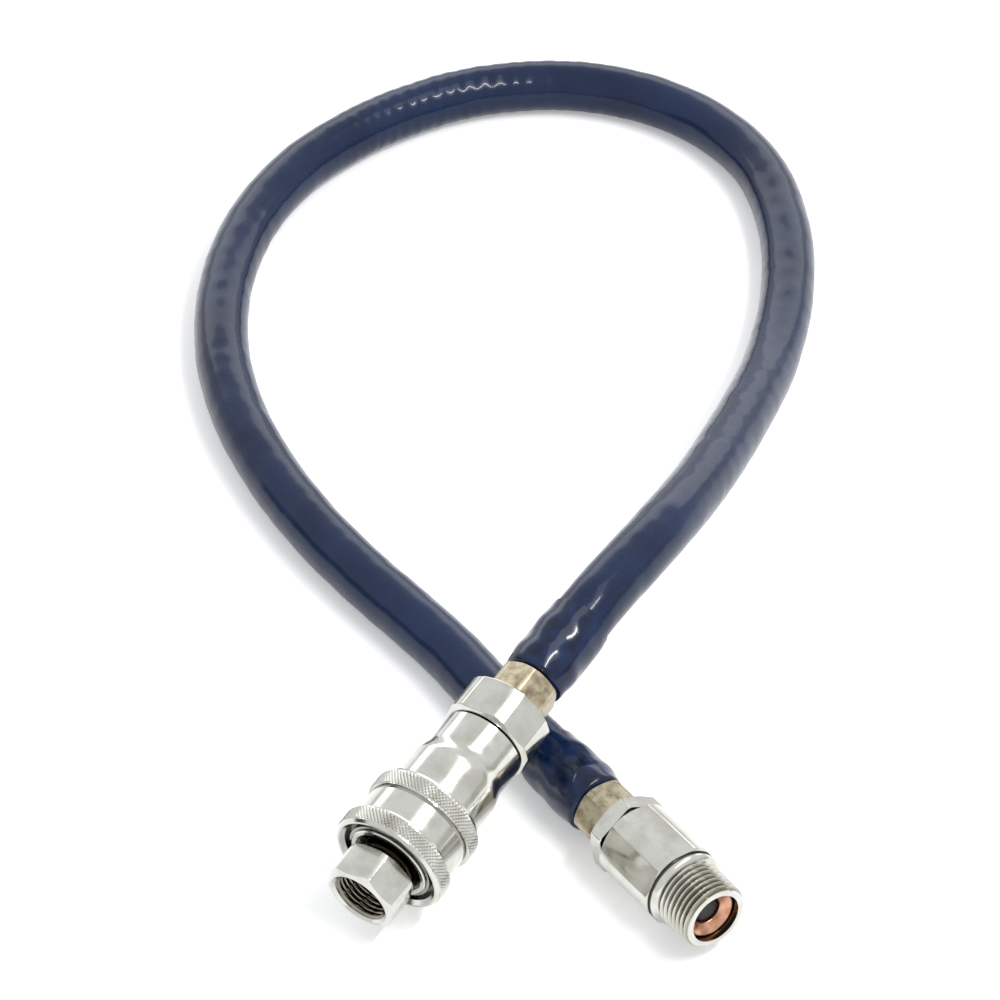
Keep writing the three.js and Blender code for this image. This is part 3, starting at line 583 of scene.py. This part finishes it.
# knurled locking sleeve, which slides back on the socket body
sleeveSize = {"start": 53.3, "end": 75.1, "rearKnurl": 17.35, "rearKnurlEnd": 59.5, "frontKnurl": 17.9,
              "frontKnurlStart": 69.2, "waist": 16.15, "groove": 15.7, "grooveWidth": 0.7, "edge": 0.8,
              "chamber": 14.6, "land": 12.8, "landStart": 66.4, "landEnd": 72.3, "mouth": 15.02,
              "mouthChamfer": 1.1, "lip": 0.3, "lipStart": 1.2, "lipEnd": 0.6, "knurlAround": 172, "knurlRows": 8,
              "knurlDepth": 0.42}


def makeSleeve():
    size = sleeveSize
    bands = [(size["rearKnurl"], size["start"] + size["edge"], size["rearKnurlEnd"]),
             (size["frontKnurl"], size["frontKnurlStart"], size["end"] - size["edge"])]
    rows = [[(r, a + (b - a) * k / size["knurlRows"]) for k in range(size["knurlRows"] + 1)] for r, a, b in bands]
    grooveEnd, chamfer = size["rearKnurlEnd"] + size["grooveWidth"], size["mouthChamfer"]
    profile = [(size["chamber"], size["start"]), (size["rearKnurl"] - size["edge"], size["start"]), *rows[0],
               (size["groove"], size["rearKnurlEnd"] + 0.05), (size["groove"], grooveEnd),
               (size["waist"], grooveEnd + 0.1), (size["waist"], size["frontKnurlStart"] - size["lipStart"]),
               (size["waist"] + size["lip"], size["frontKnurlStart"] - size["lipEnd"]), *rows[1],
               (size["frontKnurl"] - chamfer, size["end"]), (size["mouth"] + chamfer, size["end"]),
               (size["mouth"], size["end"] - chamfer), (size["mouth"], size["landEnd"]),
               (size["land"], size["landEnd"]), (size["land"], size["landStart"]),
               (size["chamber"], size["landStart"])]
    piece = turned("lockingSleeve", profile, size["knurlAround"])
    step = 2 * math.pi / size["knurlAround"]
    for vertex in piece.data.vertices:
        z = vertex.co.z / mm
        r = math.hypot(vertex.co.x, vertex.co.y) / mm
        for radius, a, b in bands:
            if abs(r - radius) < 0.02 and a - 0.01 <= z <= b + 0.01:
                row = round((z - a) / (b - a) * size["knurlRows"])
                side = round(math.atan2(vertex.co.y, vertex.co.x) / step)
                if (row + side) % 2 or row in (0, size["knurlRows"]):
                    scale = (radius - size["knurlDepth"]) / radius
                    vertex.co.x *= scale
                    vertex.co.y *= scale
    pick(piece)
    bpy.ops.object.mode_set(mode="EDIT")
    bpy.ops.mesh.select_all(action="SELECT")
    bpy.ops.mesh.quads_convert_to_tris(quad_method="SHORTEST_DIAGONAL")
    bpy.ops.object.mode_set(mode="OBJECT")
    smoothed(piece, 14)
    place(piece, couplerMatrix, "sleeve", couplerNickel, "nickel", "locking_sleeve")


makeSleeve()

ringSize = {"inner": 12.0, "outer": 13.5, "start": 72.6, "end": 73.7, "split": 3.0, "cutHeight": 4}


def makeRetainingRing():
    size = ringSize
    piece = turned("retainingRing", [(size["inner"], size["start"]), (size["outer"], size["start"]),
                                     (size["outer"], size["end"]), (size["inner"], size["end"])], 96)
    clearSelection()
    bpy.ops.mesh.primitive_cube_add(size=1, location=(0, -size["outer"] * mm, size["start"] * mm))
    cutter = bpy.context.object
    cutter.scale = (size["split"] * mm, 2 * size["outer"] * mm, size["cutHeight"] * mm)
    bpy.ops.object.transform_apply(location=False, rotation=False, scale=True)
    carve(piece, cutter)
    softEdges(piece, 0.12)
    place(piece, couplerMatrix, "hose", drawnWire, "spring_steel", "retaining_ring")


makeRetainingRing()
print("coupler made")

# plug: hexagon with a tapered female thread, and the grooved tip inside the socket
plugSize = {"flats": 20.8, "corners": 23.0, "chamfers": (0.5, 1.15), "turn": 12.4, "start": 77.7, "end": 89.0,
            "tip": 9.3, "tipStart": 53.2, "ballStation": 69.4, "ballRing": 10.4, "ballRadius": 2.3,
            "grooveRows": 6, "tipChamfer": 0.8, "tipTaper": 1.4, "passage": 5, "passageEnd": 54.7, "chamber": 7,
            "chamberStart": 56.7, "boreStart": 71.3, "bore": 7.4, "countersink": 9.2, "countersinkDepth": 1.6,
            "threadLength": 12.8, "threadInset": 0.4}
plugThread = {"crest": 8.45, "depth": 0.8, "pitch": 1.411, "taper": -1 / 32, "rowsPerPitch": 9}


def makePlug():
    size = plugSize
    piece = hexagon("plugBody", size, size["start"], size["end"])
    softEdges(piece, 0.5, 4)
    groove = []
    half = math.sqrt(size["ballRadius"] ** 2 - (size["tip"] - size["ballRing"]) ** 2)
    for k in range(2 * size["grooveRows"] + 1):
        station = half * (k / size["grooveRows"] - 1)
        depth = math.sqrt(size["ballRadius"] ** 2 - station ** 2)
        groove.append((min(size["tip"], size["ballRing"] - depth), size["ballStation"] + station))
    tip = turned("tip", [
        (0, size["tipStart"]), (size["tip"] - size["tipChamfer"], size["tipStart"]),
        (size["tip"], size["tipStart"] + size["tipTaper"]), *groove,
        (size["tip"], size["start"] + 1), (0, size["start"] + 1)], 96)
    carve(piece, tip, "UNION")
    hole = turned("hole", [
        (0, size["tipStart"] - 1), (size["passage"], size["tipStart"] - 1), (size["passage"], size["passageEnd"]),
        (size["chamber"], size["chamberStart"]), (size["chamber"], size["boreStart"]),
        (size["bore"], size["boreStart"]), (size["bore"], size["end"] - size["countersinkDepth"]),
        (size["countersink"], size["end"]), (size["countersink"], size["end"] + 1), (0, size["end"] + 1)], 96)
    carve(piece, hole)
    threadEnd = size["end"] - size["threadInset"]
    carve(piece, threadedRod("tap", plugThread, threadEnd - size["threadLength"], threadEnd))
    smoothed(piece, 25)
    place(piece, couplerMatrix, "plug", couplerNickel, "nickel", "plug_body")


makePlug()
print("plug made")

# male end: cap, check valve body with its pipe thread, seat ring
capSize = {"flats": 22.0, "corners": 25.2, "chamfers": (0.9, 0.2), "turn": 35.6, "start": 12.0, "end": 17.3,
           "spigot": 9.2, "spigotEnd": 32.0, "bore": 4.75, "shankHoleEnd": 22.2}


def makeCap():
    size = capSize
    piece = hexagon("valveCap", size, size["start"], size["end"])
    softEdges(piece, 0.2, 2)
    carve(piece, rod("spigot", size["spigot"], size["end"] - 1, size["spigotEnd"]), "UNION")
    carve(piece, rod("shankHole", stubSize["shank"] + shankGap, size["start"] - 1, size["shankHoleEnd"], 64))
    carve(piece, rod("bore", size["bore"], size["start"], size["spigotEnd"] + 1, 48))
    smoothed(piece)
    place(piece, maleMatrix, "hose", maleNickel, "nickel", "valve_cap")


makeCap()

valveSize = {"flats": 23.8, "corners": 25.4, "chamfers": (0.5, 0.4), "turn": 0, "start": 18.2, "hexEnd": 41.6,
             "undercut": 11.6, "undercutWidth": 0.9, "collar": 11.85, "domeRows": 8, "threadStart": 44.6, "end": 57.6,
             "endChamfer": 1.1, "spigotHole": 9.5, "chamberStart": 35, "chamber": 6.6, "recess": 7.7,
             "recessStart": 52.1}
maleThread = {"crest": 10.37, "depth": 1.2, "pitch": 1.814, "taper": 1 / 32, "rowsPerPitch": 10}


def makeValveBody():
    size = valveSize
    piece = hexagon("valveBody", size, size["start"], size["hexEnd"])
    softEdges(piece, 0.2, 2)
    crest = maleThread["crest"]
    root = crest + (size["end"] - size["threadStart"]) * maleThread["taper"] - maleThread["depth"]
    collar = size["hexEnd"] + size["undercutWidth"]
    rise = size["threadStart"] - collar
    dome = [(0, size["hexEnd"] - 1), (size["undercut"], size["hexEnd"] - 1), (size["undercut"], collar)]
    for k in range(size["domeRows"] + 1):
        angle = k * math.pi / 2 / size["domeRows"]
        dome.append((root + (size["collar"] - root) * math.cos(angle), collar + rise * math.sin(angle)))
    dome.append((0, size["threadStart"]))
    carve(piece, turned("shoulder", dome, 96), "UNION")
    thread = threadedRod("thread", maleThread, size["threadStart"] - 0.6, size["end"])
    behind = size["chamberStart"] - 5
    blank = turned("end", [
        (0, behind), (crest + 1, behind), (crest + 1, size["end"] - size["endChamfer"] - 1),
        (crest - size["endChamfer"], size["end"]), (0, size["end"])], 96)
    carve(thread, blank, "INTERSECT")
    carve(piece, thread, "UNION")
    hole = turned("hole", [
        (0, size["start"] - 1), (size["spigotHole"], size["start"] - 1), (size["spigotHole"], size["chamberStart"]),
        (size["chamber"], size["chamberStart"]), (size["chamber"], size["recessStart"]),
        (size["recess"], size["recessStart"]), (size["recess"], size["end"] + 1), (0, size["end"] + 1)], 96)
    carve(piece, hole)
    smoothed(piece, 25)
    place(piece, maleMatrix, "hose", maleNickel, "nickel", "valve_body")


makeValveBody()


def makeSeatRing():
    piece = turned("seatRing", [
        (4.2, 52.4), (7.4, 52.4), (7.4, 55.2), (7.2, 55.4), (6.9, 55.4), (4.4, 53.8), (4.2, 53.5)], 96)
    place(piece, maleMatrix, "hose", copperRing, "copper", "seat_ring")


makeSeatRing()
print("male end made")

# CAD nodes that stay, mostly hidden inside
kept = {
    "ferrule_a": zincPlate, "ferrule_b": zincPlate, "socket_valve_guide": zincPlate, "plug_valve_guide": zincPlate,
    "check_guide": zincPlate, "packing_ring": nitrile, "check_poppet": nitrile, "socket_valve": couplerBrass,
    "plug_valve": couplerBrass, "socket_valve_spring": drawnWire, "plug_valve_spring": drawnWire,
    "sleeve_spring": drawnWire, "check_spring": drawnWire,
}
kept.update({f"locking_ball_{k}": ballSteel for k in range(1, 7)})
for name, material in kept.items():
    nodes[name].data.materials.clear()
    nodes[name].data.materials.append(material)
    smoothed(nodes[name], 50)

# each spring is listed with the joint of the piece that pushes its front end, its axis and that piece's travel; here
# each gets only a mesh of its own
springs = {"sleeve_spring": ("sleeve_slide", couplerMatrix, couplerAxis, 5.0),
           "check_spring": ("check_slide", maleMatrix, maleAxis, 3.0)}
for name, (joint, matrix, axis, travel) in springs.items():
    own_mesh(nodes[name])
print("hidden pieces dressed")

# floor, world and studio light: a lamp or a card has its place, its size, and its power or its colour
studio = {
    "floor": "f7f7f5", "floorSize": 8, "floorLift": 0.3, "backdrop": "ffffff", "sky": "f3f5fa", "fill": 0.78,
    "target": (0, 0, 0.02),
    "lamps": [("keyStrip", (0.66, 0.1, 1.35), (1.2, 0.45), 3.4),
              ("flashStrip", (0.66, -0.3, 1.35), (0.95, 0.08), 13.0),
              ("backBank", (0, 1.45, 0.62), (2.6, 0.5), 7.0)],
    "cards": [("darkCard", (-1.2, 0.12, 0.1), (0.7, 0.42), "4a4a46"),
              ("greyCard", (1.25, -0.1, 0.12), (1.4, 0.4), "c6c6bd")],
}


# 1 for what the camera sees, by itself or in a reflection, and 0 for light
def seenRays(tree):
    rays = addNode(tree, "ShaderNodeLightPath").outputs
    either = addNode(tree, "ShaderNodeMath", {"operation": "MAXIMUM"},
                     links={0: rays["Is Camera Ray"], 1: rays["Is Glossy Ray"]})
    return addNode(tree, "ShaderNodeMath", {"operation": "MAXIMUM"},
                   links={0: either.outputs[0], 1: rays["Is Transmission Ray"]}).outputs[0]


def makeFloor():
    clearSelection()
    bpy.ops.mesh.primitive_plane_add(size=studio["floorSize"])
    floor = bpy.context.object
    floor.name = "floor"
    material, tree, shader = newMaterial("paleFloor", studio["floor"], 0.9)
    lift = addNode(tree, "ShaderNodeMath", {"operation": "MULTIPLY"}, {1: studio["floorLift"]}, {0: seenRays(tree)})
    white = addNode(tree, "ShaderNodeEmission", values={"Color": linear(studio["backdrop"])},
                    links={"Strength": lift.outputs[0]})
    total = addNode(tree, "ShaderNodeAddShader", links={0: shader.outputs[0], 1: white.outputs[0]})
    tree.links.new(total.outputs[0], tree.nodes["Material Output"].inputs["Surface"])
    floor.data.materials.append(material)


def makeWorld():
    world = bpy.data.worlds.new("studio")
    bpy.context.scene.world = world
    world.use_nodes = True
    tree = world.node_tree
    background = tree.nodes["Background"]
    background.inputs["Color"].default_value = linear(studio["sky"])
    background.inputs["Strength"].default_value = studio["fill"]
    backdrop = addNode(tree, "ShaderNodeBackground", values={"Color": linear(studio["backdrop"]), "Strength": 1.0})
    mix = addNode(tree, "ShaderNodeMixShader",
                  links={"Fac": seenRays(tree), 1: background.outputs[0], 2: backdrop.outputs[0]})
    tree.links.new(mix.outputs[0], tree.nodes["World Output"].inputs["Surface"])


def towardsTarget(where):
    return (Vector(studio["target"]) - Vector(where)).to_track_quat("-Z", "Y")


# flags that only reflections see, as round a product table: they give the plating its darker bands
def makeCards():
    for name, where, size, color in studio["cards"]:
        clearSelection()
        bpy.ops.mesh.primitive_plane_add(size=1)
        card = bpy.context.object
        card.name = name
        turn = towardsTarget(where).to_matrix().to_4x4()
        card.data.transform(Matrix.Translation(where) @ turn @ Matrix.Diagonal((*size, 1, 1)))
        card.data.materials.append(newMaterial(name, color, 0.9)[0])
        card.visible_camera = False
        card.visible_diffuse = False
        card.visible_shadow = False


def makeLamps():
    for name, where, size, power in studio["lamps"]:
        lamp = bpy.data.lights.new(name, "AREA")
        lamp.shape = "RECTANGLE"
        lamp.size, lamp.size_y = size
        lamp.energy = power
        lampObject = bpy.data.objects.new(name, lamp)
        bpy.context.scene.collection.objects.link(lampObject)
        lampObject.location = where
        lampObject.rotation_euler = towardsTarget(where).to_euler()


makeFloor()
makeWorld()
makeCards()
makeLamps()
print("studio made")
